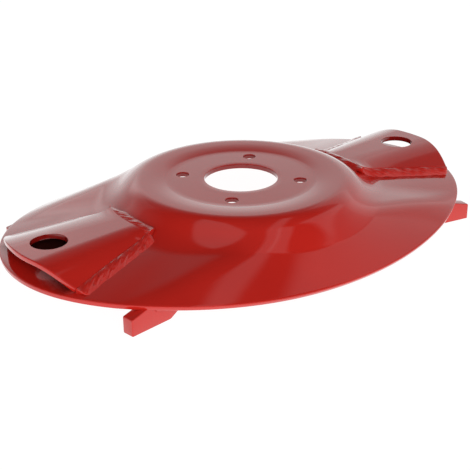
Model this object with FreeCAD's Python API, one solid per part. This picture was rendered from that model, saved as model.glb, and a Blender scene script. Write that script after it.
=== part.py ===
import FreeCAD, Part
import math
import os

from FreeCAD import Vector

# The part is the rotating disc of a hay mower: a pressed oval disc, two arched blade housings,
# four bars below and the weld beads that join them. It is the same when turned half a turn.
# Frame: the origin is on the axis of the centre bore, on the underside of the hub seat.
# X runs along the disc's long axis, Z points up. Lengths are in millimetres, angles in degrees.

# Disc
SHEET = 5.0                # thickness of the disc's steel
DISC_LENGTH = 509.0        # over the rim, along X
DISC_WIDTH = 348.0         # over the rim, along Y
OVAL_POWER = 2.06          # 2 would make the outline an ellipse, more makes it blunter
BORE_DIAMETER = 74.0
BOLT_CIRCLE = 120.0
BOLT_HOLE = 13.0
BOLT_COUNT = 4
BOLT_ANGLE = 45.0          # first bolt hole, from X
SEAT_DIAMETER = 150.0      # flat ring that carries the drive hub
CREST_DIAMETER = 203.0     # highest line of the raised ring round the seat
CREST_RISE = 2.2           # how far the crest stands above the seat
CREST_ROUNDING = 20.0      # width over which the crest turns into the flank
KNEE_DIAMETER = 273.4      # where the steep flank turns into the flatter wing, at the ends
KNEE_NARROWING = 13.9      # the knee is this much nearer the axis at the sides
KNEE_ROUNDING = 33.5
FLANK_SLOPE_END = 0.845    # fall of the flank per millimetre, towards the ends
FLANK_SLOPE_CORNER = 0.155 # added to it halfway between the ends and the sides
FOLD_DISTANCE = 113.6      # beyond this line, parallel to X, the wing is folded down
FOLD_SLOPE = 0.34
FOLD_ROUNDING = 24.0
FOLD_FADE = 40.0           # the fold grows to its full slope this far outside the crest
RIM_HEIGHT = -31.9         # mean height of the rim's top edge
RIM_LIFT = 7.4             # the rim stands this much higher at the ends, lower at the sides
RIM_WAVE = 1.7             # keeps the rim level over most of each end

# Blade housings
PLATE = 5.0                # thickness of the arched plate
CROWN_HEIGHT = -4.8        # top of the arch, level along X
HOUSING_START = 137.0      # radius of the plate's inner end
RIM_SETBACK = 4.5          # the open end stops this far inside the rim
FRONT_START_WIDTH = 33.0   # half widths of the plate: front is +Y on the +X housing
FRONT_OPEN_WIDTH = 69.0
BACK_START_WIDTH = 33.0
BACK_OPEN_WIDTH = 63.0
FRONT_BEND_START = 30.0    # where the crown bends down, from the long axis
FRONT_BEND_OPEN = 42.0
FRONT_BEND_ROUNDING = 34.0
BACK_BEND_START = 24.0
BACK_BEND_OPEN = 27.0
BACK_BEND_ROUNDING = 40.0
BACK_GAP = 2.2             # the back edge stands off the disc; its bead fills the gap
ACCESS_HOLE = 34.2         # large hole in the housing
BLADE_HOLE = 21.0          # hole in the disc below it, for the blade's bolt
HOLE_INSET = 37.8          # both from the end of the disc

# Bars
BAR_WIDTH = 12.5
BAR_HEIGHT = 16.0
BAR_INSET_X = 48.5         # middle of the bar's outer end, from the end of the disc
BAR_INSET_Y = 58.2         # and from its side
BAR_TOE = 9.5              # turned out from X
BAR_LENGTH = 60.0
BAR_TOP_HEIGHT = -37.0     # top of the bar at its outer end
BAR_CHAMFER_LENGTH = 16.0
BAR_CHAMFER_HEIGHT = 9.0
BAR_BEAD = 4.5             # legs of the beads along the bars
BAR_BEAD_END = 26.0        # they stop this far from the bar's outer end, under the rim

# Weld beads of the housings
BEAD_LEG = 11.0            # width on the disc
BEAD_RISE = 4.6            # height against the plate's edge
BEAD_BULGE = 1.6           # how far the face stands out from a flat one
END_BEAD_LEG = 9.0
END_BEAD_OVERRUN = 1.5     # the inner bead runs on past the plate's corners
BITE = 0.4                 # the bead's inner face lies this far off the plate's end

# How finely the curved faces follow their formulas
ANGLE_STEPS = 48
ROUND_STEPS = 5
WING_STEPS = 9
WING_CROWDING = 1.4        # the wing's steps are shorter towards the knee
ROW_STEPS = 6
CROWN_STEPS = 2
BEND_STEPS = 6             # across each bent side of a housing
BEAD_STEPS = 6
BURIED = 3.0               # how far a tool solid reaches into what it is cut against
JOIN_TOLERANCE = 0.02      # the two parts of the sheet are merged when they meet this closely
SETTLE = 0.3               # the plate's edges are cut this deep to lie flat on the disc
PROBE = 1.0                # half the span over which a slope of the sheet is measured

HALF_LENGTH = DISC_LENGTH/2
HALF_WIDTH = DISC_WIDTH/2
CREST_RADIUS = CREST_DIAMETER/2
SEAT_RADIUS = SEAT_DIAMETER/2
KNEE_RADIUS = KNEE_DIAMETER/2
CREST_HEIGHT = SHEET + CREST_RISE
HOLE_DISTANCE = HALF_LENGTH - HOLE_INSET


def ramp(distance, rounding):
    """Zero before the start, then a slope of one, reached over the rounding."""
    if distance <= 0:
        return 0.0
    if distance < rounding:
        return distance*distance/(2*rounding)
    return distance - rounding/2


def mix(start, end, share):
    return start + (end - start)*share


def rim_radius(angle):
    """Polar radius of the oval outline."""
    along = abs(math.cos(angle)/HALF_LENGTH)**OVAL_POWER
    across = abs(math.sin(angle)/HALF_WIDTH)**OVAL_POWER
    return (along + across)**(-1/OVAL_POWER)


def rim_height(angle):
    """The rim rises to the ends and falls to the sides, twice round the disc."""
    turn = math.atan2(HALF_LENGTH*math.sin(angle), HALF_WIDTH*math.cos(angle))
    return RIM_HEIGHT + RIM_LIFT*math.cos(2*turn) - RIM_WAVE*math.cos(4*turn)


def flank_slope(angle):
    """Fall of the flank: the sides run straight from the crest to the rim, the corners steeper."""
    side_fall = CREST_HEIGHT - rim_height(math.pi/2)
    side_slope = side_fall/(HALF_WIDTH - CREST_RADIUS - CREST_ROUNDING/2)
    along = mix(FLANK_SLOPE_END, side_slope, math.sin(angle)**2)
    return along + FLANK_SLOPE_CORNER*math.sin(2*angle)**2


def fold_drop(radius, angle):
    """How far the wing is folded down beyond the lines that run beside the long axis."""
    beyond = ramp(abs(radius*math.sin(angle)) - FOLD_DISTANCE + FOLD_ROUNDING/2, FOLD_ROUNDING)
    return FOLD_SLOPE*beyond*min(1.0, max(0.0, (radius - CREST_RADIUS)/FOLD_FADE))


def disc_height(radius, angle):
    """Top of the disc outside the crest: crest, flank, knee and folded wing, ending at the rim."""
    slope = flank_slope(angle)
    edge = rim_radius(angle)
    knee_start = KNEE_RADIUS - KNEE_NARROWING*math.sin(angle)**2 - KNEE_ROUNDING/2
    flank_end = CREST_HEIGHT - slope*ramp(edge - CREST_RADIUS, CREST_ROUNDING) - fold_drop(edge, angle)
    easing = (rim_height(angle) - flank_end)/ramp(edge - knee_start, KNEE_ROUNDING)
    height = CREST_HEIGHT - slope*ramp(radius - CREST_RADIUS, CREST_ROUNDING)
    return height + easing*ramp(radius - knee_start, KNEE_ROUNDING) - fold_drop(radius, angle)


def disc_height_at(x, y):
    return disc_height(math.hypot(x, y), math.atan2(y, x))


def spread(start, end, steps):
    return [mix(start, end, i/steps) for i in range(steps + 1)]


def spline(points, marks, closed=False):
    """Smooth curve that passes each point at its mark."""
    curve = Part.BSplineCurve()
    curve.interpolate(Points=points, PeriodicFlag=closed, Parameters=marks)
    return curve


def surface_through(rows, row_marks, column_marks, closed=False):
    """Smooth surface through a grid of points: curves along the rows, joined across them."""
    along = [spline(row, column_marks, closed) for row in rows]
    across = [spline(list(poles), row_marks) for poles in zip(*[curve.getPoles() for curve in along])]
    net = [list(poles) for poles in zip(*[curve.getPoles() for curve in across])]
    surface = Part.BSplineSurface()
    surface.buildFromPolesMultsKnots(
        net, across[0].getMultiplicities(), along[0].getMultiplicities(),
        across[0].getKnots(), along[0].getKnots(), False, closed, across[0].Degree, along[0].Degree)
    return surface


def plate_between(rows, row_marks, column_marks, thickness, closed=False):
    """Faces of a plate of even thickness, given its upper side: strips from row to row, and cut edges."""
    surface = surface_through(rows, row_marks, column_marks, closed)
    lower_rows = []
    for row, u in zip(rows, row_marks):
        lower_row = []
        for point, v in zip(row, column_marks):
            normal = surface.normal(u, v)
            if normal.z < 0:
                normal = -normal
            lower_row.append(point - normal*thickness)
        lower_rows.append(lower_row)
    upper = [spline(row, column_marks, closed).toShape() for row in rows]
    lower = [spline(row, column_marks, closed).toShape() for row in lower_rows]
    faces = [Part.makeRuledSurface(*pair) for side in (upper, lower) for pair in zip(side, side[1:])]
    faces += [Part.makeRuledSurface(upper[end], lower[end]) for end in (0, -1)]
    if not closed:
        for column in (0, -1):
            for i in range(len(rows) - 1):
                top = Part.makeLine(rows[i][column], rows[i + 1][column])
                bottom = Part.makeLine(lower_rows[i][column], lower_rows[i + 1][column])
                faces.append(Part.makeRuledSurface(top, bottom))
    return faces


def solid_from(faces):
    """Closed solid from faces that meet along their edges."""
    shell = Part.makeShell(faces)
    shell.sewShape()
    solid = Part.Solid(shell)
    if solid.Volume < 0:
        solid.reverse()
    return solid


def drill(x, y, diameter, bottom, top):
    return Part.makeCylinder(diameter/2, top - bottom, Vector(x, y, bottom))


def half_turn(shape):
    turned = shape.copy()
    turned.rotate(Vector(0, 0, 0), Vector(0, 0, 1), 180)
    return turned


def mirrored(shape):
    """The same piece on the other side of the long axis."""
    return shape.mirror(Vector(0, 0, 0), Vector(0, 1, 0))


def hub():
    """Flat seat and the raised ring round it, one sheet section turned about Z."""
    run = CREST_RADIUS - SEAT_RADIUS
    ring_radius = (run*run + CREST_RISE*CREST_RISE)/(2*CREST_RISE)
    centre = Vector(CREST_RADIUS, 0, CREST_HEIGHT - ring_radius)
    sides = []
    for radius, level in ((ring_radius, SHEET), (ring_radius - SHEET, 0.0)):
        drop = level - centre.z
        foot = Vector(CREST_RADIUS - math.sqrt(radius*radius - drop*drop), 0, level)
        crest = centre + Vector(0, 0, radius)
        lean = math.atan2(crest.x - foot.x, drop)/2
        middle = centre + Vector(-radius*math.sin(lean), 0, radius*math.cos(lean))
        inner = Vector(BORE_DIAMETER/2, 0, level)
        sides.append((inner, foot, middle, crest))
    upper, lower = sides
    section = [
        Part.LineSegment(lower[0], upper[0]), Part.LineSegment(upper[0], upper[1]),
        Part.Arc(*upper[1:]), Part.LineSegment(upper[3], lower[3]),
        Part.Arc(*lower[1:]), Part.LineSegment(lower[1], lower[0])]
    wire = Part.Wire(Part.__sortEdges__([piece.toShape() for piece in section]))
    return Part.Face(wire).revolve(Vector(0, 0, 0), Vector(0, 0, 1), 360)


def skirt_rows():
    """Rings of points on the upper side, from the crest out to the rim, and their marks."""
    round_end = CREST_RADIUS + CREST_ROUNDING
    fixed = spread(CREST_RADIUS, round_end, ROUND_STEPS)
    shares = [share**WING_CROWDING for share in spread(0.0, 1.0, WING_STEPS)[1:]]
    turns = spread(0.0, 2*math.pi, ANGLE_STEPS)
    rows = []
    for radius, share in [(r, 0.0) for r in fixed] + [(round_end, s) for s in shares]:
        row = []
        for angle in turns[:-1]:
            reach = mix(radius, rim_radius(angle), share)
            row.append(Vector(reach*math.cos(angle), reach*math.sin(angle), disc_height(reach, angle)))
        rows.append(row)
    marks = fixed + [mix(round_end, HALF_LENGTH, s) for s in shares]
    return rows, marks, turns


def disc_plate():
    """Hub and skirt as one sheet, with the centre bore, the bolt holes and the blades' bolt holes."""
    rows, marks, turns = skirt_rows()
    skirt = solid_from(plate_between(rows, marks, turns, SHEET, closed=True))
    plate = hub().fuse([skirt], JOIN_TOLERANCE)
    for i in range(BOLT_COUNT):
        angle = math.radians(BOLT_ANGLE + 360*i/BOLT_COUNT)
        x = BOLT_CIRCLE/2*math.cos(angle)
        y = BOLT_CIRCLE/2*math.sin(angle)
        plate = plate.cut(drill(x, y, BOLT_HOLE, -SHEET, 2*SHEET))
    for side in (-1, 1):
        plate = plate.cut(drill(side*HOLE_DISTANCE, 0, BLADE_HOLE, RIM_HEIGHT - 2*SHEET, 0))
    return largest(plate)


def housing_rows():
    """Upper side of the +X housing: level crown, sides bent down to stand on the disc."""
    back = (BACK_START_WIDTH, BACK_OPEN_WIDTH, BACK_BEND_START, BACK_BEND_OPEN, BACK_BEND_ROUNDING, -BACK_GAP)
    front = (
        FRONT_START_WIDTH, FRONT_OPEN_WIDTH, FRONT_BEND_START, FRONT_BEND_OPEN, FRONT_BEND_ROUNDING, SETTLE)
    rows = []
    for share in spread(0.0, 1.0, ROW_STEPS):
        back_side = bent_side(share, -1, *back)
        front_side = bent_side(share, 1, *front)
        crown = []
        for y in spread(back_side[0].y, front_side[0].y, CROWN_STEPS)[1:-1]:
            crown.append(Vector(housing_x(y, share), y, CROWN_HEIGHT))
        rows.append(back_side[::-1] + crown + front_side)
    return rows


def bent_side(share, side, start_width, open_width, start_bend, open_bend, rounding, lift):
    """Points from the crown's edge to the foot of the plate; lift is how deep the foot is set in."""
    width = mix(start_width, open_width, share)
    crown_edge = mix(start_bend, open_bend, share) - rounding/2
    foot_x = housing_x(width, share)
    drop = max(0.0, CROWN_HEIGHT - PLATE + lift - disc_height_at(foot_x, side*width))
    points = []
    for reach in spread(crown_edge, width, BEND_STEPS):
        bent = ramp(reach - crown_edge, rounding)/ramp(width - crown_edge, rounding)
        points.append(Vector(housing_x(reach, share), side*reach, CROWN_HEIGHT - drop*bent))
    return points


def housing_x(y, share):
    """From the round inner end to the open end, which follows the rim."""
    start = math.sqrt(HOUSING_START**2 - y*y)
    open_end = (HALF_LENGTH - RIM_SETBACK)*math.sqrt(1 - (y/(HALF_WIDTH - RIM_SETBACK))**2)
    return mix(start, open_end, share)


def blade_housing(disc):
    rows = housing_rows()
    row_marks = spread(0.0, 1.0, ROW_STEPS)
    column_marks = [point.y for point in rows[ROW_STEPS//2]]
    plate = solid_from(plate_between(rows, row_marks, column_marks, PLATE))
    plate = plate.cut(drill(HOLE_DISTANCE, 0, ACCESS_HOLE, CROWN_HEIGHT - 2*PLATE, CROWN_HEIGHT + PLATE))
    return largest(plate.cut(disc))


def bead(corners, outward, rise, cutters):
    """Weld bead in the corner between an edge and a face beyond it, lofted along the corner.

    Each corner gives the top of the bead against the edge and its toe on the face. The rise is
    measured from the face, and is negative for a bead that hangs below one."""
    bulge = math.copysign(BEAD_BULGE, rise)
    under = Vector(0, 0, math.copysign(BURIED, rise))
    sections = []
    for (top, toe), away in zip(corners, outward):
        middle = (top + toe)*0.5 + away*abs(bulge)*0.5 + Vector(0, 0, bulge)
        inner = top - away*BURIED
        deep = inner - Vector(0, 0, rise) - under
        sections.append(Part.makePolygon([inner, top, middle, toe, toe - under, deep, inner]))
    solid = Part.makeLoft(sections, True, True)
    for cutter in cutters:
        solid = solid.cut(cutter)
    return largest(solid)


def largest(shape):
    """The main solid of a cut, without the offcuts beyond the sheet."""
    return max(shape.Solids, key=lambda solid: solid.Volume)


def side_bead(front, disc, housing):
    """Along one side of the +X housing, from its inner corner to the open end."""
    corners = []
    outward = []
    side = 1 if front else -1
    edge = [row[-1] if front else row[0] for row in housing_rows()]
    for i, point in enumerate(edge):
        ahead = edge[min(i + 1, len(edge) - 1)] - edge[max(i - 1, 0)]
        away = Vector(-ahead.y, ahead.x, 0)*side
        away.normalize()
        toe = point + away*BEAD_LEG
        toe.z = disc_height_at(toe.x, toe.y)
        corners.append((point - Vector(0, 0, PLATE - BEAD_RISE), toe))
        outward.append(away)
    return bead(corners, outward, BEAD_RISE if front else BEAD_RISE + BACK_GAP, [disc, housing])


def inner_bead(disc, housing, neighbours):
    """Round the inner end of the +X housing, where the plate meets the disc's flank."""
    corners = []
    outward = []
    for y in spread(-BACK_START_WIDTH - END_BEAD_OVERRUN, FRONT_START_WIDTH + END_BEAD_OVERRUN, BEAD_STEPS):
        top = Vector(housing_x(y, 0.0), y, CROWN_HEIGHT - PLATE + BEAD_RISE)
        away = Vector(-top.x, -top.y, 0)
        away.normalize()
        toe = top + away*END_BEAD_LEG
        toe.z = disc_height_at(toe.x, toe.y)
        corners.append((top - away*BITE, toe))
        outward.append(away)
    return bead(corners, outward, BEAD_RISE + BACK_GAP, [disc, housing] + neighbours)


def underside_height(x, y):
    """Lower side of the sheet, straight below a point of its upper side."""
    rise_x = (disc_height_at(x + PROBE, y) - disc_height_at(x - PROBE, y))/(2*PROBE)
    rise_y = (disc_height_at(x, y + PROBE) - disc_height_at(x, y - PROBE))/(2*PROBE)
    return disc_height_at(x, y) - SHEET*math.sqrt(1 + rise_x*rise_x + rise_y*rise_y)


def bar_point(back, side, height):
    """Point of the +X +Y bar: distance in from its outer end, across it, and its height."""
    along = Vector(math.cos(math.radians(BAR_TOE)), math.sin(math.radians(BAR_TOE)), 0)
    across = Vector(-along.y, along.x, 0)
    return Vector(HALF_LENGTH - BAR_INSET_X, HALF_WIDTH - BAR_INSET_Y, height) - along*back + across*side


def bar(disc):
    """Square bar under the disc, its far end chamfered, its top shaped to the sheet."""
    inner = bar_point(BAR_LENGTH, 0, 0)
    foot = BAR_TOP_HEIGHT - BAR_HEIGHT
    top_inner = underside_height(inner.x, inner.y) + BURIED
    profile = [
        (0, BAR_TOP_HEIGHT), (0, foot), (BAR_LENGTH - BAR_CHAMFER_LENGTH, foot),
        (BAR_LENGTH, foot + BAR_CHAMFER_HEIGHT), (BAR_LENGTH, top_inner)]
    points = [bar_point(back, -BAR_WIDTH/2, height) for back, height in profile]
    across = bar_point(0, BAR_WIDTH, 0) - bar_point(0, 0, 0)
    block = Part.Face(Part.makePolygon(points + points[:1])).extrude(across)
    return largest(block.cut(disc))


def bar_bead(side, disc, block):
    """Along one long side of the bar, under the sheet."""
    corners = []
    outward = []
    away = bar_point(0, side, 0) - bar_point(0, 0, 0)
    for back in spread(BAR_BEAD_END, BAR_LENGTH - BAR_BEAD, BEAD_STEPS):
        corner = bar_point(back, side*BAR_WIDTH/2, 0)
        corner.z = underside_height(corner.x, corner.y)
        toe = corner + away*BAR_BEAD
        toe.z = underside_height(toe.x, toe.y)
        corners.append((corner - Vector(0, 0, BAR_BEAD), toe))
        outward.append(away)
    return bead(corners, outward, -BAR_BEAD, [disc, block])


def main():
    os.makedirs("parts", exist_ok=True)
    disc = disc_plate()
    housing = blade_housing(disc)
    front_bead = side_bead(True, disc, housing)
    back_bead = side_bead(False, disc, housing)
    end_bead = inner_bead(disc, housing, [front_bead, back_bead])
    front_bar = bar(disc)
    nodes = {"disc_plate": disc}
    for end, place in (("right", lambda shape: shape), ("left", half_turn)):
        nodes["blade_housing_" + end] = place(housing)
        nodes["housing_bead_front_" + end] = place(front_bead)
        nodes["housing_bead_back_" + end] = place(back_bead)
        nodes["housing_bead_inner_" + end] = place(end_bead)
        nodes["bar_front_" + end] = place(front_bar)
        nodes["bar_back_" + end] = place(mirrored(front_bar))
        for name, side in (("outer", 1), ("inner", -1)):
            run = bar_bead(side, disc, front_bar)
            nodes["bar_bead_front_" + name + "_" + end] = place(run)
            nodes["bar_bead_back_" + name + "_" + end] = place(mirrored(run))
    for name, shape in nodes.items():
        print(name, shape.ShapeType, shape.isValid(), len(shape.Solids), round(shape.Volume))
        shape.exportStep("parts/" + name + ".step")


main()
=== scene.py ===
# %% [markdown]
# # A mower disc in red paint
# This lesson dresses one steel weldment: the oval disc that carries the blades on a disc mower.
# The solids were made in a CAD program and come in as a fixed frame. Here each of them gets a
# finely curved surface with rounded edges, uneven weld beads and a thick coat of glossy red paint.

# %% Load the frame
import math

import bmesh
import bpy
import numpy as np
from mathutils import Matrix, Vector


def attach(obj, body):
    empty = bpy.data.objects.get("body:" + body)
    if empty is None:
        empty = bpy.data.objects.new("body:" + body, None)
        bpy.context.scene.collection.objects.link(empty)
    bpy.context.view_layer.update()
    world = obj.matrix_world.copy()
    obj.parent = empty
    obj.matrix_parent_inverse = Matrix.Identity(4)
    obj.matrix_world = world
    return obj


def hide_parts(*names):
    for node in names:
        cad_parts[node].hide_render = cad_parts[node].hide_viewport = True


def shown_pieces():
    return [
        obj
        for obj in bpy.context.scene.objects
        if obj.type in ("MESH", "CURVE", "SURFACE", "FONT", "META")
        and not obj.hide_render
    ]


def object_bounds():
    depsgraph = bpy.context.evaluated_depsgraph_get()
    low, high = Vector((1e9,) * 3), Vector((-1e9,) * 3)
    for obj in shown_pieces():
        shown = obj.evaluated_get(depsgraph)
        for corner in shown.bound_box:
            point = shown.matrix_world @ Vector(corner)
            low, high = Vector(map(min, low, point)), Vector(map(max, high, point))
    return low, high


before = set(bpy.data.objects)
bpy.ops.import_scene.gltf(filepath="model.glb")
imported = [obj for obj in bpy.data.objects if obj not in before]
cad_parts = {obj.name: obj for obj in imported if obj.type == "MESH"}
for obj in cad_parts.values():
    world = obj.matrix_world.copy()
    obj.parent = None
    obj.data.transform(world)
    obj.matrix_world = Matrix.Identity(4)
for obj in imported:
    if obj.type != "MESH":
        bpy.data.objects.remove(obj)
cad_box = [list(corner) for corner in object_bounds()]
print("nodes in the frame:", len(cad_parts))

# %% [markdown]
# ## From a grid of points to a mesh
# Every piece here is a grid: rings of points, one ring after the other. A loop over the points would
# be slow, so whole arrays are used. A ring that closes on itself makes a tube; a last ring that joins
# the first makes a closed shell, like a tyre; a flat tube is closed by a strip across each end, and
# a round one by a fan of triangles.

# %% Mesh helpers
MM = 0.001


def grid_faces(rings, points, joined=False, capped=False):
    """Quads between neighbours of a (rings, points) grid whose rings are closed.

    joined links the last ring to the first; capped closes both end rings by a strip of quads that
    runs from each point to the one opposite it."""
    index = np.arange(rings*points).reshape(rings, points)
    if joined:
        index = np.vstack([index, index[:1]])
    here, ahead = index[:-1], index[1:]
    quads = np.stack([here, np.roll(here, -1, 1), np.roll(ahead, -1, 1), ahead], -1).reshape(-1, 4)
    if not capped:
        return quads.tolist()
    half = points//2
    i = np.arange(half - 1)
    strip = np.stack([i, points - 1 - i, points - 2 - i, i + 1], -1)
    return np.vstack([quads, strip, strip[:, ::-1] + (rings - 1)*points]).tolist()


def fan_ends(rings):
    """A tube of closed rings, with a centre point added to each end ring and a fan of triangles to it."""
    count, points = rings.shape[:2]
    vertices = np.vstack([rings.reshape(-1, 3), np.stack([rings[0].mean(0), rings[-1].mean(0)])])
    faces = grid_faces(count, points)
    for start, centre in ((0, count*points), ((count - 1)*points, count*points + 1)):
        faces += [[start + j, start + (j + 1) % points, centre] for j in range(points)]
    return vertices, faces


def make_piece(name, vertices, faces, sharp=50.0):
    """One smooth-shaded object from vertices in mm; its faces are turned outwards.

    Edges that bend by more than the sharp angle, in degrees, stay sharp."""
    mesh = bpy.data.meshes.new(name)
    mesh.from_pydata((np.reshape(vertices, (-1, 3))*MM).tolist(), [], faces)
    work = bmesh.new()
    work.from_mesh(mesh)
    bmesh.ops.recalc_face_normals(work, faces=work.faces)
    work.to_mesh(mesh)
    work.free()
    mesh.shade_smooth()
    mesh.set_sharp_from_angle(angle=math.radians(sharp))
    piece = bpy.data.objects.new(name, mesh)
    bpy.context.collection.objects.link(piece)
    return piece


def unit(vectors):
    """Each vector of the last axis divided by its length."""
    return vectors/np.linalg.norm(vectors, axis=-1, keepdims=True)


def turned_up(vectors):
    """The vectors that point down are reversed."""
    return np.where(vectors[..., 2:] < 0, -vectors, vectors)


def normals_of(grid, closed):
    """Unit normals of a (rows, columns, 3) grid: the cross product of the steps along and across it."""
    if closed:
        wide = np.concatenate([grid[:, -1:], grid, grid[:, :1]], 1)
        along = np.gradient(wide, axis=1)[:, 1:-1]
    else:
        along = np.gradient(grid, axis=1)
    return turned_up(unit(np.cross(np.gradient(grid, axis=0), along)))


# %% [markdown]
# ## Two ends and two sides
# The disc looks the same after half a turn, so each piece is drawn once, for the +X end, and placed
# again at the other end by changing signs. The bars also have a twin across the long axis.

# %% Places
def as_drawn(points):
    return points


def half_turn(points):
    return points*np.array([-1.0, -1.0, 1.0])


def mirrored(points):
    return points*np.array([1.0, -1.0, 1.0])


ENDS = (("right", as_drawn), ("left", half_turn))
print("ends:", [end for end, _ in ENDS])

# %% [markdown]
# ## The pressed disc
# The real disc is one sheet of steel, pressed to shape. A flat seat carries the drive hub, a low
# ring stands round it, and outside the ring a steep flank runs out into a flatter wing. The height
# above the hub's underside depends on radius and angle only, so one grid makes the sheet. The lower
# side is the upper one moved by the sheet's thickness along its normals.

# %% Height of the disc
SHEET = 5.0
HALF_LENGTH, HALF_WIDTH = 254.5, 174.0
OVAL_POWER = 2.06
BORE_RADIUS, SEAT_RADIUS, CREST_RADIUS = 37.0, 75.0, 101.5
CREST_RISE = 2.2
CREST_HEIGHT = SHEET + CREST_RISE
CREST_ROUNDING = 20.0
KNEE_RADIUS, KNEE_NARROWING, KNEE_ROUNDING = 136.7, 13.9, 33.5
FLANK_SLOPE_END, FLANK_SLOPE_CORNER = 0.845, 0.155
FOLD_DISTANCE, FOLD_SLOPE, FOLD_ROUNDING, FOLD_FADE = 113.6, 0.34, 24.0, 40.0
RIM_HEIGHT, RIM_LIFT, RIM_WAVE = -31.9, 7.4, 1.7
PROBE = 1.0                # half the span over which a slope of the sheet is measured


def ramp(distance, rounding):
    """Zero before the start, then a parabola that grows into a slope of one over the rounding."""
    bent = distance*distance/(2*rounding)
    return np.where(distance <= 0, 0.0, np.where(distance < rounding, bent, distance - rounding/2))


def mix(start, end, share):
    return start + (end - start)*share


def rim_radius(angle):
    """Polar radius of an oval a little blunter than an ellipse: a power of 2.06 in place of the squares."""
    along = np.abs(np.cos(angle)/HALF_LENGTH)**OVAL_POWER
    across = np.abs(np.sin(angle)/HALF_WIDTH)**OVAL_POWER
    return (along + across)**(-1/OVAL_POWER)


def rim_height(angle):
    """A mean height plus a wave twice and a wave four times round the rim."""
    turn = np.arctan2(HALF_LENGTH*np.sin(angle), HALF_WIDTH*np.cos(angle))
    return RIM_HEIGHT + RIM_LIFT*np.cos(2*turn) - RIM_WAVE*np.cos(4*turn)


def flank_slope(angle):
    """Fall per millimetre: one value at the ends, one at the sides, and more halfway between."""
    side_fall = CREST_HEIGHT - rim_height(math.pi/2)
    side_slope = side_fall/(HALF_WIDTH - CREST_RADIUS - CREST_ROUNDING/2)
    return mix(FLANK_SLOPE_END, side_slope, np.sin(angle)**2) + FLANK_SLOPE_CORNER*np.sin(2*angle)**2


def fold_drop(radius, angle):
    """How far the wing is folded down beyond a line beside the long axis: a slope times a ramp."""
    beyond = ramp(np.abs(radius*np.sin(angle)) - FOLD_DISTANCE + FOLD_ROUNDING/2, FOLD_ROUNDING)
    return FOLD_SLOPE*beyond*np.clip((radius - CREST_RADIUS)/FOLD_FADE, 0, 1)


def disc_height(radius, angle):
    """Upper side: flat seat, arc up to the crest, then slope times ramp down the flank, eased at the
    knee by the ramp that lets it end exactly at the rim's height."""
    run = CREST_RADIUS - SEAT_RADIUS
    arc_radius = (run*run + CREST_RISE**2)/(2*CREST_RISE)
    inward = np.clip(CREST_RADIUS - radius, 0, run)
    ring = CREST_HEIGHT - arc_radius + np.sqrt(arc_radius**2 - inward**2)
    slope = flank_slope(angle)
    edge = rim_radius(angle)
    knee_start = KNEE_RADIUS - KNEE_NARROWING*np.sin(angle)**2 - KNEE_ROUNDING/2
    flank_end = CREST_HEIGHT - slope*ramp(edge - CREST_RADIUS, CREST_ROUNDING) - fold_drop(edge, angle)
    easing = (rim_height(angle) - flank_end)/ramp(edge - knee_start, KNEE_ROUNDING)
    outside = ring - slope*ramp(radius - CREST_RADIUS, CREST_ROUNDING)
    return outside + easing*ramp(radius - knee_start, KNEE_ROUNDING) - fold_drop(radius, angle)


def disc_height_at(x, y):
    return disc_height(np.hypot(x, y), np.arctan2(y, x))


def underside_at(x, y):
    """Height of the lower side: the thickness measured along the slope's normal."""
    rise_x = (disc_height_at(x + PROBE, y) - disc_height_at(x - PROBE, y))/(2*PROBE)
    rise_y = (disc_height_at(x, y + PROBE) - disc_height_at(x, y - PROBE))/(2*PROBE)
    return disc_height_at(x, y) - SHEET*np.sqrt(1 + rise_x**2 + rise_y**2)


print("height at the crest and the rim's ends, in mm:",
      round(float(disc_height(CREST_RADIUS, 0.0)), 2), round(float(disc_height(HALF_LENGTH, 0.0)), 2))

# %% [markdown]
# ## A sheet with rounded edges
# Paint leaves no knife edge, and a rounded edge catches the light. Here the rim is rounded by about a
# millimetre. So each section of the disc is a closed loop: out along the top, round the rim, back
# below and round the bore. Carried round the axis it is a shell.

# %% Build the disc
EDGE_ROUNDING = 1.1
BORE_ROUNDING = 0.7
SEAT_STEPS, RING_STEPS, WING_STEPS, TURNS = 7, 15, 60, 400


def edge_loop(point, outward, normal, rounding, thickness, steps=5):
    """Points over a rounded edge: two quarter circles between the upper and the lower side."""
    lean = np.linspace(math.pi/2, 0, steps)
    rows = []
    for depth, angles in ((rounding, lean), (thickness - rounding, -lean[::-1])):
        for angle in angles:
            round_off = math.cos(angle)*outward + math.sin(angle)*normal
            rows.append(point - normal*depth + rounding*round_off)
    return np.stack(rows)


def disc_shell():
    turn = np.linspace(0, 2*math.pi, TURNS, endpoint=False)
    seat = np.linspace(BORE_RADIUS + BORE_ROUNDING, SEAT_RADIUS, SEAT_STEPS)
    ring = np.linspace(SEAT_RADIUS, CREST_RADIUS, RING_STEPS)[1:]
    inner = np.concatenate([seat, ring])[:, None] + 0*turn
    share = np.linspace(0, 1, WING_STEPS)[1:, None]
    outer = mix(CREST_RADIUS, rim_radius(turn) - EDGE_ROUNDING, share)
    radius = np.vstack([inner, outer])
    angle = turn + 0*radius
    top = np.stack([radius*np.cos(angle), radius*np.sin(angle), disc_height(radius, angle)], -1)
    normal = normals_of(top, True)
    normal[:SEAT_STEPS] = (0, 0, 1)
    across = unit(np.gradient(top, axis=0))
    bottom = top - normal*SHEET
    rim = edge_loop(top[-1], across[-1], normal[-1], EDGE_ROUNDING, SHEET)
    bore = edge_loop(top[0], -across[0], normal[0], BORE_ROUNDING, SHEET)
    rows = np.concatenate([top, rim[1:-1], bottom[::-1], bore[::-1][1:-1]])
    return rows, grid_faces(len(rows), TURNS, joined=True)


disc_piece = make_piece("painted_disc", *disc_shell())
print("disc:", len(disc_piece.data.polygons), "faces")

# %% [markdown]
# ## Holes with soft lips
# The edge of a painted hole is rounded where it meets the surface. The cutter is a lathe shape: a
# cylinder that flares a little at both faces of the sheet. The Boolean modifier takes it away, and
# the result is kept as plain mesh.

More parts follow.
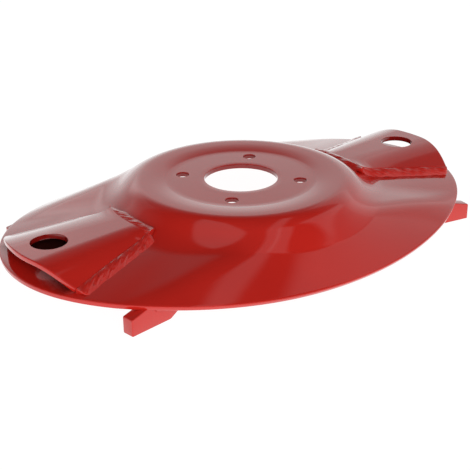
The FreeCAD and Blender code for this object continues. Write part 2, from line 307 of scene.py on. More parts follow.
# %% Cut the holes
HOLE_LIP, LIP_START, LIP_STEPS = 0.7, 0.12, 5
CUTTER_STEP = 0.4          # the cutter is this much wider outside the sheet
CUTTER_REACH = 3.0         # and stands this far past it
CUTTER_CORE = 0.01
HOLE_SHARP = 40.0
BOLT_COUNT, BOLT_CIRCLE_RADIUS, BOLT_HOLE_RADIUS = 4, 60.0, 6.5
BLADE_HOLE_RADIUS, HOLE_DISTANCE = 10.5, 216.7
BLADE_HOLE_SLACK = 1.2     # the flares lie this far off the sheet's level in the middle of the hole


def cutter(name, x, y, radius, top, bottom, turns=96):
    """Profile of (radius, height) pairs turned about a vertical axis through (x, y)."""
    flare = np.linspace(LIP_START, 1, LIP_STEPS)*math.pi/2
    upper = [(radius + HOLE_LIP*(1 - math.sin(a)), top - HOLE_LIP*(1 - math.cos(a))) for a in flare]
    lower = [(r, bottom + top - z) for r, z in reversed(upper)]
    wide = upper[0][0] + CUTTER_STEP
    above, below = top + CUTTER_REACH, bottom - CUTTER_REACH
    profile = [(CUTTER_CORE, above), (wide, above), *upper, *lower, (wide, below), (CUTTER_CORE, below)]
    turn = np.linspace(0, 2*math.pi, turns, endpoint=False)
    r, z = np.array(profile).T
    rings = np.stack([x + r[:, None]*np.cos(turn), y + r[:, None]*np.sin(turn), z[:, None] + 0*turn], -1)
    faces = grid_faces(len(r), turns)
    faces += [list(range(turns)), [(len(r) - 1)*turns + i for i in range(turns)]]
    return make_piece(name, rings, faces)


def cut_holes(piece, tools):
    for tool in tools:
        hole = piece.modifiers.new("hole", "BOOLEAN")
        hole.operation = "DIFFERENCE"
        hole.solver = "EXACT"
        hole.object = tool
    graph = bpy.context.evaluated_depsgraph_get()
    cut = bpy.data.meshes.new_from_object(piece.evaluated_get(graph))
    piece.modifiers.clear()
    piece.data = cut
    piece.data.shade_smooth()
    piece.data.set_sharp_from_angle(angle=math.radians(HOLE_SHARP))
    for tool in tools:
        bpy.data.objects.remove(tool)


hole_tools = []
for i in range(BOLT_COUNT):
    turn = math.radians(45 + 360/BOLT_COUNT*i)
    x, y = BOLT_CIRCLE_RADIUS*math.cos(turn), BOLT_CIRCLE_RADIUS*math.sin(turn)
    hole_tools.append(cutter("bolt_hole", x, y, BOLT_HOLE_RADIUS, SHEET, 0.0))
level = float(disc_height_at(HOLE_DISTANCE, 0.0))
for side in (-1, 1):
    hole_tools.append(cutter("blade_hole", side*HOLE_DISTANCE, 0, BLADE_HOLE_RADIUS,
                             level + BLADE_HOLE_SLACK, level - SHEET - BLADE_HOLE_SLACK))
cut_holes(disc_piece, hole_tools)
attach(disc_piece, "root")
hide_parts("disc_plate")
print("disc with its holes:", len(disc_piece.data.polygons), "faces")

# %% [markdown]
# ## The blade housings
# Each housing is a steel plate whose crown stays level while its two sides come down to the disc.
# The grid runs from the round inner end (share 0) to the open end (share 1) and across from the back
# edge (q = -1) to the front edge (q = 1).

# %% Shape of a housing
PLATE = 5.0
CROWN_HEIGHT = -4.8
HOUSING_START, RIM_SETBACK = 137.0, 4.5
FRONT_START_WIDTH, FRONT_OPEN_WIDTH = 33.0, 69.0
BACK_START_WIDTH, BACK_OPEN_WIDTH = 33.0, 63.0
FRONT_BEND_START, FRONT_BEND_OPEN, FRONT_BEND_ROUNDING = 30.0, 42.0, 34.0
BACK_BEND_START, BACK_BEND_OPEN, BACK_BEND_ROUNDING = 24.0, 27.0, 40.0
BACK_GAP = 2.2
ACCESS_HOLE_RADIUS = 17.1
HOUSING_RUN = 110.0        # about its length, which turns millimetres into a share
HOUSING_ROWS, HOUSING_COLUMNS = 110, 161


def housing_x(y, share):
    """From a circle about the disc's axis to an ellipse just inside the rim."""
    start = np.sqrt(HOUSING_START**2 - y*y)
    open_end = (HALF_LENGTH - RIM_SETBACK)*np.sqrt(1 - (y/(HALF_WIDTH - RIM_SETBACK))**2)
    return mix(start, open_end, share)


def housing_top(share, q):
    """Level crown minus the drop at the edge times a ramp that starts at the bend line."""
    front = q >= 0
    width = np.where(front, mix(FRONT_START_WIDTH, FRONT_OPEN_WIDTH, share),
                     mix(BACK_START_WIDTH, BACK_OPEN_WIDTH, share))
    bend = np.where(front, mix(FRONT_BEND_START, FRONT_BEND_OPEN, share),
                    mix(BACK_BEND_START, BACK_BEND_OPEN, share))
    rounding = np.where(front, FRONT_BEND_ROUNDING, BACK_BEND_ROUNDING)
    edge_y = np.where(front, width, -width)
    foot = disc_height_at(housing_x(edge_y, share), edge_y) + np.where(front, 0.0, BACK_GAP)
    drop = np.maximum(0.0, CROWN_HEIGHT - PLATE - foot)
    reach = np.abs(q)*width - bend + rounding/2
    bent = ramp(reach, rounding)/ramp(width - bend + rounding/2, rounding)
    return np.stack([housing_x(q*width, share), q*width, CROWN_HEIGHT - drop*bent], -1)


def housing_shell():
    """Each ring goes over the plate and back below it; the last ones round off the open end."""
    share = np.linspace(0, 1 - EDGE_ROUNDING/HOUSING_RUN, HOUSING_ROWS)[:, None]
    q = np.linspace(-1, 1, HOUSING_COLUMNS)[None, :]
    top = housing_top(share + 0*q, q + 0*share)
    normal = normals_of(top, False)
    bottom = top - normal*PLATE
    loops = np.concatenate([top, bottom[:, ::-1]], 1)
    inward = np.concatenate([-normal, normal[:, ::-1]], 1)
    ahead = unit(top[-1] - top[-2])
    ahead = np.concatenate([ahead, ahead[::-1]])
    end_rings = []
    for lean in np.linspace(0, math.pi/2, 6)[1:]:
        round_off = (1 - math.cos(lean))*inward[-1] + math.sin(lean)*ahead
        end_rings.append(loops[-1] + EDGE_ROUNDING*round_off)
    rings = np.concatenate([loops, np.stack(end_rings)])
    return rings, grid_faces(len(rings), rings.shape[1], capped=True)


# %% [markdown]
# The large hole is cut through each plate after it is placed. Its cutter is a little taller than the
# plate, so that the flares soften both rims of the hole.

# %% Build the housings
ACCESS_ABOVE, ACCESS_BELOW = 0.1, 0.4

for end, place in ENDS:
    rings, faces = housing_shell()
    housing_piece = make_piece("arched_housing_" + end, place(rings), faces)
    side = 1 if end == "right" else -1
    cut_holes(housing_piece, [cutter("access_hole", side*HOLE_DISTANCE, 0, ACCESS_HOLE_RADIUS,
                                     CROWN_HEIGHT + ACCESS_ABOVE, CROWN_HEIGHT - PLATE - ACCESS_BELOW,
                                     turns=160)])
    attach(housing_piece, "root")
    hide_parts("blade_housing_" + end)
    print("housing", end, len(housing_piece.data.polygons), "faces")

# %% [markdown]
# ## Weld beads
# A hand-laid bead is uneven: its toe wanders, its back swells and sinks, and its face shows soft
# strands that creep from the plate's edge towards the toe. The bead is a profile carried along the
# corner: an arc from the plate's edge to the disc, pushed out by three things. A rounded wave whose
# phase runs ahead across the bead gives slanted ripples, two quilts of random patches give the lumps,
# and a slow wave changes the bulge. All random numbers are seeded.

# %% Bead helper
BEAD_LEG, BEAD_RISE, BEAD_BULGE, END_BEAD_LEG = 11.0, 4.6, 1.6, 10.5
BEAD_TAPER, BEAD_END_WIDTH = 5.0, 0.35
WAVE_PERIODS = (1.0, 0.55, 0.31, 0.17)
TOE_WANDER, WANDER_REACH = 0.55, 60
BULGE_WANDER, BULGE_REACH = 0.5, 70
RIPPLE_PITCH, RIPPLE_HEIGHT, RIPPLE_GAIN = 11.0, 0.13, 2.4
RIPPLE_SLANT, RIPPLE_ARCH, RIPPLE_SLIP = 34.0, 1.8, 2.2
RIPPLE_SOFTNESS, RIPPLE_MIDDLE = 0.40, 0.9
STRENGTH_MIDDLE, STRENGTH_WANDER, STRENGTH_LIMITS = 0.65, 0.7, (0.15, 1.3)
COARSE_LUMPS, FINE_LUMPS = 0.21, 0.11
SLIP_QUILT, COARSE_QUILT, FINE_QUILT = (12.0, 3, 8.0), (16.0, 5, 5.5), (9.0, 9, 3.0)
RELIEF_RISE = 2.5          # how fast the relief grows with the crown, from both edges of the bead


def wander(length, seed, size, reach):
    """Slow random wave along the bead: a few sines of random phase, longer ones stronger."""
    source = np.random.default_rng(seed)
    wave = np.zeros_like(length)
    for share in WAVE_PERIODS:
        period = reach*share
        wave += math.sqrt(period/reach)*np.sin(2*math.pi*(length/period + source.random()))
    return size*wave/2


def quilt(length, w, seed, patch, strands, lay):
    """Random heights from -1 to 1 on slanted patches, joined by cosine steps: strands that creep from
    the plate's edge towards the toe, one strand's width for each lay of bead."""
    along = length[:, None]/patch + 0*w
    across = strands*w + (length[-1] - length)[:, None]/lay
    i, j = along.astype(int), across.astype(int)
    heights = np.random.default_rng(seed).uniform(-1, 1, (i.max() + 2, j.max() + 2))
    s = (1 - np.cos(math.pi*(along - i)))/2
    t = (1 - np.cos(math.pi*(across - j)))/2
    near = mix(heights[i, j], heights[i + 1, j], s)
    return mix(near, mix(heights[i, j + 1], heights[i + 1, j + 1], s), t)


def bead_shell(edge, toe, buried, seed, bulge=BEAD_BULGE, ripple=RIPPLE_HEIGHT, across=26):
    """edge and toe are (n, 3) lines along the bead; buried is the line that closes it out of sight."""
    middle = (edge + toe)/2
    length = np.concatenate([[0], np.cumsum(np.linalg.norm(np.diff(middle, axis=0), axis=1))])
    out = turned_up(unit(np.cross(np.gradient(middle, axis=0), toe - edge)))
    toe = toe + unit(toe - edge)*wander(length, seed, TOE_WANDER, WANDER_REACH)[:, None]
    inside = np.clip(np.minimum(length, length[-1] - length)/BEAD_TAPER, 0, 1)
    width = mix(BEAD_END_WIDTH, 1.0, np.sqrt(1 - (1 - inside)**2))
    toe = edge + (toe - edge)*width[:, None]
    w = np.linspace(0, 1, across)
    crown = 4*w*(1 - w)
    lag = RIPPLE_ARCH*(2*w - 1)**2 - RIPPLE_SLANT*w
    slip = wander(length, seed + 1, RIPPLE_SLIP, WANDER_REACH)[:, None]
    slip = slip + RIPPLE_SLIP*quilt(length, w, seed + 4, *SLIP_QUILT)
    puddle = np.sqrt(np.sin(math.pi*(length[:, None] + lag + slip)/RIPPLE_PITCH)**2 + RIPPLE_SOFTNESS)
    strength = STRENGTH_MIDDLE + wander(length, seed + 5, STRENGTH_WANDER, WANDER_REACH)
    strength = np.clip(strength, *STRENGTH_LIMITS)[:, None]
    lumps = COARSE_LUMPS*quilt(length, w, seed + 3, *COARSE_QUILT)
    lumps = lumps + FINE_LUMPS*quilt(length, w, seed + 6, *FINE_QUILT)
    relief = ripple*strength*(puddle - RIPPLE_MIDDLE)*RIPPLE_GAIN + lumps
    height = (bulge + wander(length, seed + 2, BULGE_WANDER, BULGE_REACH))[:, None]*crown
    height = height + np.minimum(1, RELIEF_RISE*crown)*relief
    face = edge[:, None] + (toe - edge)[:, None]*w[:, None] + height[..., None]*out[:, None]
    return np.concatenate([face, buried[:, None], (buried[:, None] + face[:, :1])/2], 1)


# %% [markdown]
# ## Beads of the housings
# Three lines describe each bead. The edge line starts just inside the plate, the toe line lies on the
# disc, and the buried line closes the bead below the disc's surface, where nobody sees it.

# %% Housing beads
TOE_DEPTH, BURIED_DEPTH = 0.1, 0.8
SIDE_BEAD_SETBACK = 0.9    # the side beads stop this far short of the open end
SIDE_BITE = 0.5            # the edge line lies this far inside the plate, the buried line twice as far
INNER_BITE, INNER_BURIED_BITE = 0.5, 0.3
INNER_EDGE_DEPTH = 0.3     # the inner bead's edge line lies this far below the crown
INNER_BEAD_OVERRUN = 4.5
BACK_LEG_SHARES, BACK_LEGS = (0, 0.15, 1), (3.5, 9.0, 7.4)
INNER_LEG_PLACES, INNER_LEGS = (-38, -15), (4.5, END_BEAD_LEG + 0.5)


def sunk_to_disc(points, depth):
    """The same points, set this deep below the disc's upper side."""
    return np.stack([points[:, 0], points[:, 1], disc_height_at(points[:, 0], points[:, 1]) - depth], -1)


def side_lines(front, steps=340):
    share = np.linspace(0.0, 1 - SIDE_BEAD_SETBACK/HOUSING_RUN, steps)
    side = 1 if front else -1
    edge = housing_top(share, np.full(steps, float(side)))
    ahead = np.gradient(edge, axis=0)
    away = unit(np.stack([-ahead[:, 1], ahead[:, 0], 0*ahead[:, 0]], -1)*side)
    leg = np.full(steps, BEAD_LEG) if front else np.interp(share, BACK_LEG_SHARES, BACK_LEGS)
    toe = sunk_to_disc(edge + away*leg[:, None], TOE_DEPTH)
    edge = edge - away*SIDE_BITE
    edge[:, 2] -= PLATE - BEAD_RISE
    return edge, toe, sunk_to_disc(edge - away*SIDE_BITE, BURIED_DEPTH)


def inner_lines(steps=200):
    y = np.linspace(-BACK_START_WIDTH - INNER_BEAD_OVERRUN, FRONT_START_WIDTH + INNER_BEAD_OVERRUN, steps)
    radius = HOUSING_START + INNER_BITE
    height = np.full(steps, CROWN_HEIGHT - INNER_EDGE_DEPTH)
    edge = np.stack([np.sqrt(radius**2 - y*y), y, height], -1)
    away = unit(-edge*np.array([1.0, 1.0, 0.0]))
    leg = np.interp(y, INNER_LEG_PLACES, INNER_LEGS)
    toe = sunk_to_disc(edge + away*leg[:, None], TOE_DEPTH)
    return edge, toe, sunk_to_disc(edge - away*INNER_BURIED_BITE, BURIED_DEPTH)


def bead_piece(name, lines, seed, place, node):
    vertices, faces = fan_ends(bead_shell(*lines, seed))
    piece = make_piece(name, place(vertices), faces, sharp=60)
    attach(piece, "root")
    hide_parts(node)
    return piece


BEAD_SEED, END_SEED_STEP = 11, 10
beads = []
for number, (end, place) in enumerate(ENDS):
    for kind, lines in (("front", side_lines(True)), ("back", side_lines(False)), ("inner", inner_lines())):
        seed = BEAD_SEED + END_SEED_STEP*number + len(beads)
        beads.append(bead_piece(f"weld_{kind}_{end}", lines, seed, place, f"housing_bead_{kind}_{end}"))
print("housing beads:", len(beads), "with", sum(len(b.data.polygons) for b in beads), "faces")

# %% [markdown]
# ## The bars below
# Four short lengths of square bar are welded under the rim. Each is a rectangular section with
# rounded corners, carried along the bar. The top follows the sheet's underside and the foot rises in
# a chamfer at the inner end.

# %% Bar helpers
BAR_WIDTH, BAR_HEIGHT = 12.5, 16.0
BAR_END = np.array([206.0, 115.8])
BAR_TOE = math.radians(9.5)
BAR_LENGTH, BAR_TOP_HEIGHT = 60.0, -37.0
BAR_CHAMFER_LENGTH, BAR_CHAMFER_HEIGHT = 16.0, 9.0
BAR_ROUNDING = 1.0
BAR_STEPS = 56
BAR_SEAT, BAR_BURIED = 0.4, 3.0
BAR_RIM_SHARE = 0.985      # inside this share of the rim's radius the sheet lies over the bar
along_bar = np.array([math.cos(BAR_TOE), math.sin(BAR_TOE)])
across_bar = np.array([-along_bar[1], along_bar[0]])


def bar_xy(back, side):
    return BAR_END - along_bar*back[..., None] + across_bar*side[..., None]


def bar_section():
    """Round the bar from corner to corner: place across, height off the face, and which is on top."""
    corner = np.linspace(0, math.pi/2, 5)
    half = BAR_WIDTH/2
    side, lift, on_top = [], [], []
    for sx, sz, angles in ((-1, 1, corner), (1, 1, corner[::-1]), (1, -1, corner), (-1, -1, corner[::-1])):
        for a in angles:
            side.append(sx*(half - BAR_ROUNDING + BAR_ROUNDING*math.cos(a)))
            lift.append(sz*(BAR_ROUNDING*math.sin(a) - BAR_ROUNDING))
            on_top.append(sz > 0)
    return np.array(side), np.array(lift), np.array(on_top)


def bar_shell():
    """The section at each step back from the outer end, drawn in a little at both ends."""
    r = BAR_ROUNDING
    inset = np.linspace(0, math.pi/2, 6)
    back = np.concatenate([r*(1 - np.cos(inset)), np.linspace(r, BAR_LENGTH - r, BAR_STEPS + 2)[1:-1],
                           BAR_LENGTH - r*(1 - np.cos(inset[::-1]))])
    draw_in = r*(1 - np.sin(inset))
    shrink = np.concatenate([draw_in, np.zeros(BAR_STEPS), draw_in[::-1]])
    foot = BAR_TOP_HEIGHT - BAR_HEIGHT + BAR_CHAMFER_HEIGHT*np.clip(
        (back - BAR_LENGTH + BAR_CHAMFER_LENGTH)/BAR_CHAMFER_LENGTH, 0, 1)
    x, y = bar_xy(np.array([BAR_LENGTH]), np.array([0.0]))[0]
    line = mix(BAR_TOP_HEIGHT, float(underside_at(x, y)) + BAR_BURIED, back/BAR_LENGTH)[:, None]
    side, lift, on_top = bar_section()
    half = BAR_WIDTH/2
    side = side[None, :]*((half - shrink[:, None])/half)
    xy = bar_xy(back[:, None] + 0*side, side)
    x, y = xy[..., 0], xy[..., 1]
    below_sheet = np.hypot(x/HALF_LENGTH, y/HALF_WIDTH) < BAR_RIM_SHARE
    roof = np.where(below_sheet, np.minimum(line, underside_at(x, y) + BAR_SEAT), line) - shrink[:, None]
    z = np.where(on_top, roof + lift, (foot + shrink)[:, None] + lift)
    return np.concatenate([xy, z[..., None]], -1)


# %% [markdown]
# ## Beads of the bars
# They are the same bead, hung under the sheet: the lines are turned upside down, the bead is made,
# and the result is turned back.

# %% Build the bars and their beads
BAR_BEAD_LEG, BAR_BEAD_RISE, BAR_BEAD_END = 4.8, 4.5, 26.0
BAR_BEAD_BULGE, BAR_RIPPLE_HEIGHT = 0.7, 0.3
BAR_BITE, BAR_BEAD_BITE = 0.3, 0.5
BAR_TOE_DEPTH, BAR_BURIED_DEPTH = 0.1, 0.6
BAR_SEED, BAR_SEED_STEP = 61, 3


def raised_to_sheet(points, height):
    """The same points, set this far above the sheet's underside."""
    return np.stack([points[:, 0], points[:, 1], underside_at(points[:, 0], points[:, 1]) + height], -1)


def bar_bead_lines(side, steps=70):
    back = np.linspace(BAR_BEAD_END, BAR_LENGTH - BAR_BEAD_RISE, steps)
    xy = bar_xy(back, np.full(steps, side*BAR_WIDTH/2))
    away = np.concatenate([across_bar*side, [0.0]])
    edge = raised_to_sheet(xy, -BAR_BEAD_RISE) - away*BAR_BITE
    toe = raised_to_sheet(edge + away*BAR_BEAD_LEG, BAR_TOE_DEPTH)
    return edge, toe, raised_to_sheet(edge - away*BAR_BEAD_BITE, BAR_BURIED_DEPTH)


def bar_bead_shell(side, seed):
    flip = np.array([1.0, 1.0, -1.0])
    edge, toe, buried = (line*flip for line in bar_bead_lines(side))
    return bead_shell(edge, toe, buried, seed, bulge=BAR_BEAD_BULGE, ripple=BAR_RIPPLE_HEIGHT, across=12)*flip


bars = []
for end, turned in ENDS:
    for place_name, across in (("front", as_drawn), ("back", mirrored)):
        vertices, faces = fan_ends(bar_shell())
        piece = make_piece(f"square_bar_{place_name}_{end}", turned(across(vertices)), faces)
        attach(piece, "root")
        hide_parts(f"bar_{place_name}_{end}")
        bars.append(piece)
        for bead_name, side in (("outer", 1), ("inner", -1)):
            seed = BAR_SEED + len(bars)*BAR_SEED_STEP + side
            vertices, faces = fan_ends(bar_bead_shell(side, seed))
            bead = make_piece(f"bar_weld_{place_name}_{bead_name}_{end}", turned(across(vertices)), faces,
                              sharp=60)
            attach(bead, "root")
            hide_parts(f"bar_bead_{place_name}_{bead_name}_{end}")
print("bars:", len(bars))

# %% [markdown]
# ## Shader arithmetic
# Node graphs are long to write by hand. The class below wraps one socket, so that mask*2 - 1 adds the
# Math nodes by itself.

# %% Socket class
class Value:
    def __init__(self, tree, socket):
        self.tree = tree
        self.socket = socket

    def math(self, operation, *others):
        return math_node(self.tree, operation, self, *others)

    def __add__(self, other):
        return self.math("ADD", other)

    def __sub__(self, other):
        return self.math("SUBTRACT", other)

    def __mul__(self, other):
        return self.math("MULTIPLY", other)

    def __pow__(self, other):
        return self.math("POWER", other)

    def __radd__(self, other):
        return math_node(self.tree, "ADD", other, self)

    def __rsub__(self, other):
        return math_node(self.tree, "SUBTRACT", other, self)


def math_node(tree, operation, *inputs):
    return add_node(tree, "ShaderNodeMath", {"operation": operation}, dict(enumerate(inputs)))


def add_node(tree, kind, settings=None, inputs=None, output=0):
    """Adds a node: its settings first, then a number or a link for each named or numbered socket."""
    node = tree.nodes.new(kind)
    for key, value in (settings or {}).items():
        if key == "stops":
            ramp_stops(node, value)
        else:
            setattr(node, key, value)
    for key, value in (inputs or {}).items():
        if isinstance(value, Value):
            tree.links.new(value.socket, node.inputs[key])
        else:
            node.inputs[key].default_value = value
    return Value(tree, node.outputs[output])


def ramp_stops(node, stops):
    elements = node.color_ramp.elements
    for position, _ in stops[1:-1]:
        elements.new(position)
    elements[0].position = stops[0][0]
    elements[-1].position = stops[-1][0]
    for element, (_, colour) in zip(elements, stops):
        element.color = (*colour, 1.0)


def step(value, start, end, top=1.0):
    """0 before the start, the top value after the end, and a smooth rise between; the end may be the
    smaller of the two."""
    return add_node(value.tree, "ShaderNodeMapRange", {"interpolation_type": "SMOOTHSTEP"},
                    {0: value, 1: start, 2: end, 3: 0.0, 4: top})


def blend(share, start, end):
    return add_node(share.tree, "ShaderNodeMix", {"data_type": "RGBA"}, {0: share, 6: start, 7: end}, output=2)


# %% [markdown]
# ## Painted shade in the holes and the housings
# Shade is painted in two places: on the walls of the holes, and deep inside the housings. Both are
# found from the place on the part, in metres, and from which way the surface faces. The part is the
# same after half a turn, so the places along X and Y are taken without sign.

# %% Painted shade masks
HOUSING_SPREAD = 0.27      # half the width of the dark space, as a share of the place along X
UPRIGHT_FADE, FACING_FADE = (0.5, 0.8), (0.2, 0.6)
HUB_FADE, ACCESS_FADE = (0.071, 0.069), (0.0192, 0.0182)
SIDE_FADE, INNER_FADE, OPEN_FADE = (-0.003, 0.006), (0.139, 0.146), (0.246, 0.222)


def part_axes(place):
    axes = [add_node(place.tree, "ShaderNodeSeparateXYZ", inputs={0: place}, output=i) for i in range(2)]
    return [axis.math("ABSOLUTE") for axis in axes]


def facing_up(tree):
    normal = add_node(tree, "ShaderNodeNewGeometry", output=1)
    return add_node(tree, "ShaderNodeSeparateXYZ", inputs={0: normal}, output=2)


def distance(x, y):
    return (x*x + y*y)**0.5


def hole_wall_shade(place):
    """Painted shade mask: upright surface inside the seat's circle or round the axis of a large hole."""
    x, y = part_axes(place)
    upright = 1.0 - step(facing_up(place.tree).math("ABSOLUTE"), *UPRIGHT_FADE)
    hub = step(distance(x, y), *HUB_FADE)
    access = step(distance(x - HOLE_DISTANCE*MM, y), *ACCESS_FADE)
    return upright*hub.math("MAXIMUM", access)


def housing_shade_mask(place, inner_side):
    """Painted shade mask inside a housing: between its two sides, from its inner end on and fading out
    before the open one, on the surface that looks into the space."""
    x, y = part_axes(place)
    sides = step(x*HOUSING_SPREAD - y, *SIDE_FADE)
    depth = step(x, *INNER_FADE)*step(x, *OPEN_FADE)
    return sides*depth*step(facing_up(place.tree)*float(inner_side), *FACING_FADE)


# %% [markdown]
# ## Red paint
# The paint is a thick red enamel. Its gloss comes from a clear top film, so the shader has a coat.
# Sprayed enamel is never quite flat: it has a faint orange peel, and the colour is a little deeper
# in broad patches. On the welds it is rougher, with dark specks in the pits.

# %% Paint material
BRIGHT_RED, DEEP_RED = (0.60, 0.020, 0.012, 1), (0.50, 0.014, 0.009, 1)
SPECK, WALL_SHADE_RED, HOUSING_SHADE_RED = (0.05, 0.006, 0.005, 1), (0.14, 0.004, 0.004, 1), (0.028, 0.010, 0.008, 1)
# scale and detail of each noise
BROAD_NOISE, FINE_NOISE, FILM_NOISE, PIT_NOISE = (14.0, 3.0), (420.0, 2.0), (90.0, 1.0), (260.0, 3.0)
PIT_FADE = (0.60, 0.72)
WALL_SHADE_SHARE, HOUSING_SHADE_SHARE, HOUSING_SHADE_ROUGHNESS, HOUSING_SHADE_COAT_LOSS = 0.8, 0.93, 0.4, 0.85
BROAD_ROUGHNESS = 0.06


def paint(name, peel, grain, roughness, film_roughness, sheet_wave=0.0, dark=0.0, inner_side=0):
    """inner_side is 1 for a sheet whose upper side lies inside the housings, -1 for its lower side."""
    material = bpy.data.materials.new(name)
    material.use_nodes = True
    tree = material.node_tree
    tree.nodes.clear()
    place = add_node(tree, "ShaderNodeTexCoord", output=3)

    def noise(scale, detail):
        inputs = {"Vector": place, "Scale": scale, "Detail": detail}
        return add_node(tree, "ShaderNodeTexNoise", inputs=inputs)

    broad, fine, film = noise(*BROAD_NOISE), noise(*FINE_NOISE), noise(*FILM_NOISE)
    colour = blend(broad, BRIGHT_RED, DEEP_RED)
    if dark:
        colour = blend(step(noise(*PIT_NOISE), *PIT_FADE)*dark, colour, SPECK)
    coat = 1.0
    if inner_side:
        # Painted shade deep inside the housings: the colour goes nearly black, and the paint there is made
        # rougher with less coat, which dulls its reflections.
        inside_shade = housing_shade_mask(place, inner_side)
        # Painted shade: the walls of the holes are darkened towards a deep red.
        colour = blend(hole_wall_shade(place)*WALL_SHADE_SHARE, colour, WALL_SHADE_RED)
        colour = blend(inside_shade*HOUSING_SHADE_SHARE, colour, HOUSING_SHADE_RED)
        roughness = roughness + inside_shade*HOUSING_SHADE_ROUGHNESS
        coat = 1.0 - inside_shade*HOUSING_SHADE_COAT_LOSS
    height = film*peel + fine*grain + broad*sheet_wave
    normal = add_node(tree, "ShaderNodeBump", inputs={"Height": height, "Distance": 0.001, "Strength": 1.0})
    shader = add_node(tree, "ShaderNodeBsdfPrincipled", inputs={
        "Base Color": colour, "Roughness": roughness + broad*BROAD_ROUGHNESS, "Normal": normal,
        "Coat Weight": coat, "Specular IOR Level": 0.15, "Coat Roughness": film_roughness, "Coat IOR": 1.5})
    tree.links.new(shader.socket, tree.nodes.new("ShaderNodeOutputMaterial").inputs[0])
    return material


GLOSS = dict(peel=0.012, grain=0.001, roughness=0.10, film_roughness=0.04, sheet_wave=0.35)
disc_paint = paint("red_enamel_on_disc", inner_side=1, **GLOSS)
plate_paint = paint("red_enamel_on_plate", inner_side=-1, **GLOSS)
weld_paint = paint("red_enamel_on_weld", peel=0.04, grain=0.004, roughness=0.16, film_roughness=0.16,
                   dark=0.25)
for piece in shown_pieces():
    material = weld_paint if "weld" in piece.name else plate_paint
    if piece == disc_piece:
        material = disc_paint
    piece.data.materials.clear()
    piece.data.materials.append(material)

# %% [markdown]
# ## White table
# The photograph has a plain white ground. The table gives off nearly all of its white itself, so
# that it stays white in the picture and is reflected as white in the lower flanks.

# %% Floor
FLOOR_GAP, FLOOR_REACH = 0.0002, 6
TABLE_LOOK = {"Base Color": (0.10, 0.10, 0.10, 1), "Roughness": 0.9,
              "Emission Color": (1, 1, 1, 1), "Emission Strength": 0.97}
floor_level = cad_box[0][2] - FLOOR_GAP
corners = [(x*FLOOR_REACH, y*FLOOR_REACH, floor_level) for x, y in ((-1, -1), (1, -1), (1, 1), (-1, 1))]
floor_mesh = bpy.data.meshes.new("floor")
floor_mesh.from_pydata(corners, [], [(0, 1, 2, 3)])
floor = bpy.data.objects.new("floor", floor_mesh)
bpy.context.collection.objects.link(floor)
floor_paint = bpy.data.materials.new("table")
floor_paint.use_nodes = True
for socket, value in TABLE_LOOK.items():
    floor_paint.node_tree.nodes["Principled BSDF"].inputs[socket].default_value = value
floor_mesh.materials.append(floor_paint)
print("floor level, in mm:", round(floor_level/MM, 2))

# %% [markdown]
# ## Light
# Glossy paint shows its surroundings, so the world is drawn as the photograph's reflections ask. A
# grey ramp gives the brightness at each height above the horizon, and the right side is a little
# brighter than the left. Soft boxes are added on a ceiling one unit up: a direction meets it at its
# sideways and forward parts divided by its height. A large lamp in front fills the shaded sides.

# %% World
SKY = [(0, 0.50), (12, 0.50), (19, 0.46), (23, 0.47), (25, 0.51), (27, 0.44), (30, 0.33), (34, 0.22),
       (38, 0.15), (44, 0.10), (52, 0.03), (70, 0.03), (90, 0.05)]
SKY_SCALE = 1.4
SIDE_TILT, SIDE_BASE = 0.18, 0.97
LOWEST = 0.05              # directions below this height are treated as if they had it
VIEW_TURN = math.radians(36.0)
VIEW_SIDE = (math.cos(VIEW_TURN), -math.sin(VIEW_TURN), 0.0)
VIEW_AHEAD = (math.sin(VIEW_TURN), math.cos(VIEW_TURN), 0.0)
# left, its lean, right, its lean, near, far, strength, softness of the edge
PANELS = ((-0.44, 0.50, -0.04, -0.40, -0.30, 0.50, 0.46, 0.03),
          (0.20, 0.05, 0.35, -0.10, -0.50, 0.55, 0.42, 0.03),
          (0.32, 0.0, 0.50, 0.0, -0.50, 0.03, 0.42, 0.03),
          (0.90, 0.30, 1.60, 0.0, -0.40, 0.12, 0.24, 0.04),
          (0.46, 0.36, 1.00, 0.05, 0.13, 1.02, 0.46, 0.06),
          (1.00, 0.05, 1.70, 0.0, 0.12, 1.02, 0.12, 0.06),
          (0.32, 0.0, 3.00, 0.0, 1.02, 1.90, 0.24, 0.05),
          (-3.0, 0.0, -0.62, 0.0, 0.80, 1.60, 0.10, 0.06),
          (0.0, -0.58, 0.0, -0.20, 1.62, 2.90, 0.56, 0.45),
          (0.0, -0.60, 0.0, 0.20, 2.60, 40.0, 0.30, 1.2))
world = bpy.data.worlds.new("studio")
bpy.context.scene.world = world
world.use_nodes = True
sky = world.node_tree
direction = add_node(sky, "ShaderNodeTexCoord", output=0)
lift = add_node(sky, "ShaderNodeSeparateXYZ", inputs={0: direction}, output=2)


def dot(vector):
    inputs = {0: direction, 1: vector}
    return add_node(sky, "ShaderNodeVectorMath", {"operation": "DOT_PRODUCT"}, inputs, output=1)


def panel(left, left_lean, right, right_lean, near, far, strength, edge):
    """A soft box on a ceiling one unit up: seen from below, x runs to the right and y away. Its two
    sides lean: each stands at a place plus a lean times y."""
    inside_left = step(ceiling_x - ceiling_y*left_lean, left - edge, left + edge)
    inside_right = step(ceiling_x - ceiling_y*right_lean, right + edge, right - edge)
    depth = step(ceiling_y, near - edge, near + edge)*step(ceiling_y, far + edge, far - edge, strength)
    return inside_left*inside_right*depth


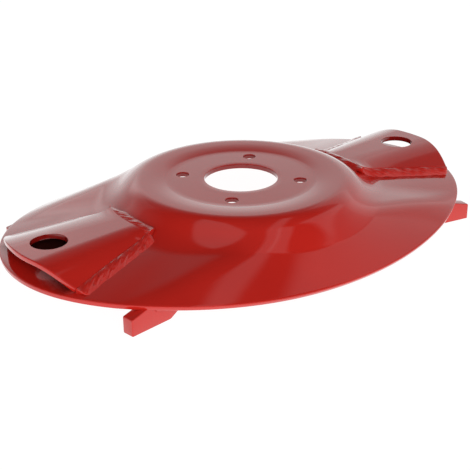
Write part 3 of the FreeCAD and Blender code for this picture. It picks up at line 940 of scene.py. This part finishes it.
grey_stops = [(max(0.0, math.sin(math.radians(angle))), (level, level, level)) for angle, level in SKY]
brightness = add_node(sky, "ShaderNodeValToRGB", {"stops": grey_stops}, {0: lift})
to_side = dot(VIEW_SIDE)
ceiling = lift.math("MAXIMUM", LOWEST)
ceiling_x = to_side.math("DIVIDE", ceiling)
ceiling_y = dot(VIEW_AHEAD).math("DIVIDE", ceiling)
total = brightness*(to_side*SIDE_TILT + SIDE_BASE)*SKY_SCALE
for soft_box in PANELS:
    total = total + panel(*soft_box)
sky.nodes["Background"].inputs[0].default_value = (1, 1, 1, 1)
sky.links.new(total.socket, sky.nodes["Background"].inputs[1])
print("soft boxes:", len(PANELS))

# %% [markdown]
# The lamp is left out of the reflections, because the soft boxes already make them.

# %% Lamp
lamp_data = bpy.data.lights.new("soft_front", "AREA")
lamp_data.shape = "DISK"
lamp_data.size = 2.0
lamp_data.energy = 33.0
lamp = bpy.data.objects.new("soft_front", lamp_data)
bpy.context.collection.objects.link(lamp)
lamp.location = (-0.98, -2.10, 0.70)
lamp.rotation_euler = (-lamp.location).to_track_quat("-Z", "Y").to_euler()
lamp.visible_glossy = False
lamp.visible_camera = False
print("lamp power, in watts:", lamp_data.energy)

# %% [markdown]
# ## Camera
# Turn, lift, roll, distance and focal length were fitted to the photograph from its bolt holes, bore,
# seat and rim.

# %% Camera
VIEW_LIFT, VIEW_ROLL = math.radians(24.71), math.radians(-0.68)
VIEW_DISTANCE, FOCAL_PIXELS, IMAGE_PIXELS = 1.110, 1073, 470
AIM = (-0.0067, 0, -0.0592)
SENSOR = 36.0
lift_cos, lift_sin = math.cos(VIEW_LIFT), math.sin(VIEW_LIFT)
to_part = Matrix.Rotation(-VIEW_TURN, 3, "Z")
forward = to_part @ Vector((0, lift_cos, -lift_sin))
rightward = to_part @ Vector((1, 0, 0))
upward = to_part @ Vector((0, lift_sin, lift_cos))
camera_x = rightward*math.cos(VIEW_ROLL) + upward*math.sin(VIEW_ROLL)
camera_y = upward*math.cos(VIEW_ROLL) - rightward*math.sin(VIEW_ROLL)
camera_data = bpy.data.cameras.new("camera")
camera_data.sensor_fit = "HORIZONTAL"
camera_data.sensor_width = SENSOR
camera_data.lens = SENSOR*FOCAL_PIXELS/IMAGE_PIXELS
camera = bpy.data.objects.new("camera", camera_data)
bpy.context.collection.objects.link(camera)
pose = Matrix((camera_x, camera_y, -forward)).transposed().to_4x4()
pose.translation = to_part @ Vector(AIM) - VIEW_DISTANCE*forward
camera.matrix_world = pose
bpy.context.scene.camera = camera
bpy.context.scene.view_settings.view_transform = "Standard"
print("lens, in mm:", round(camera_data.lens, 1))
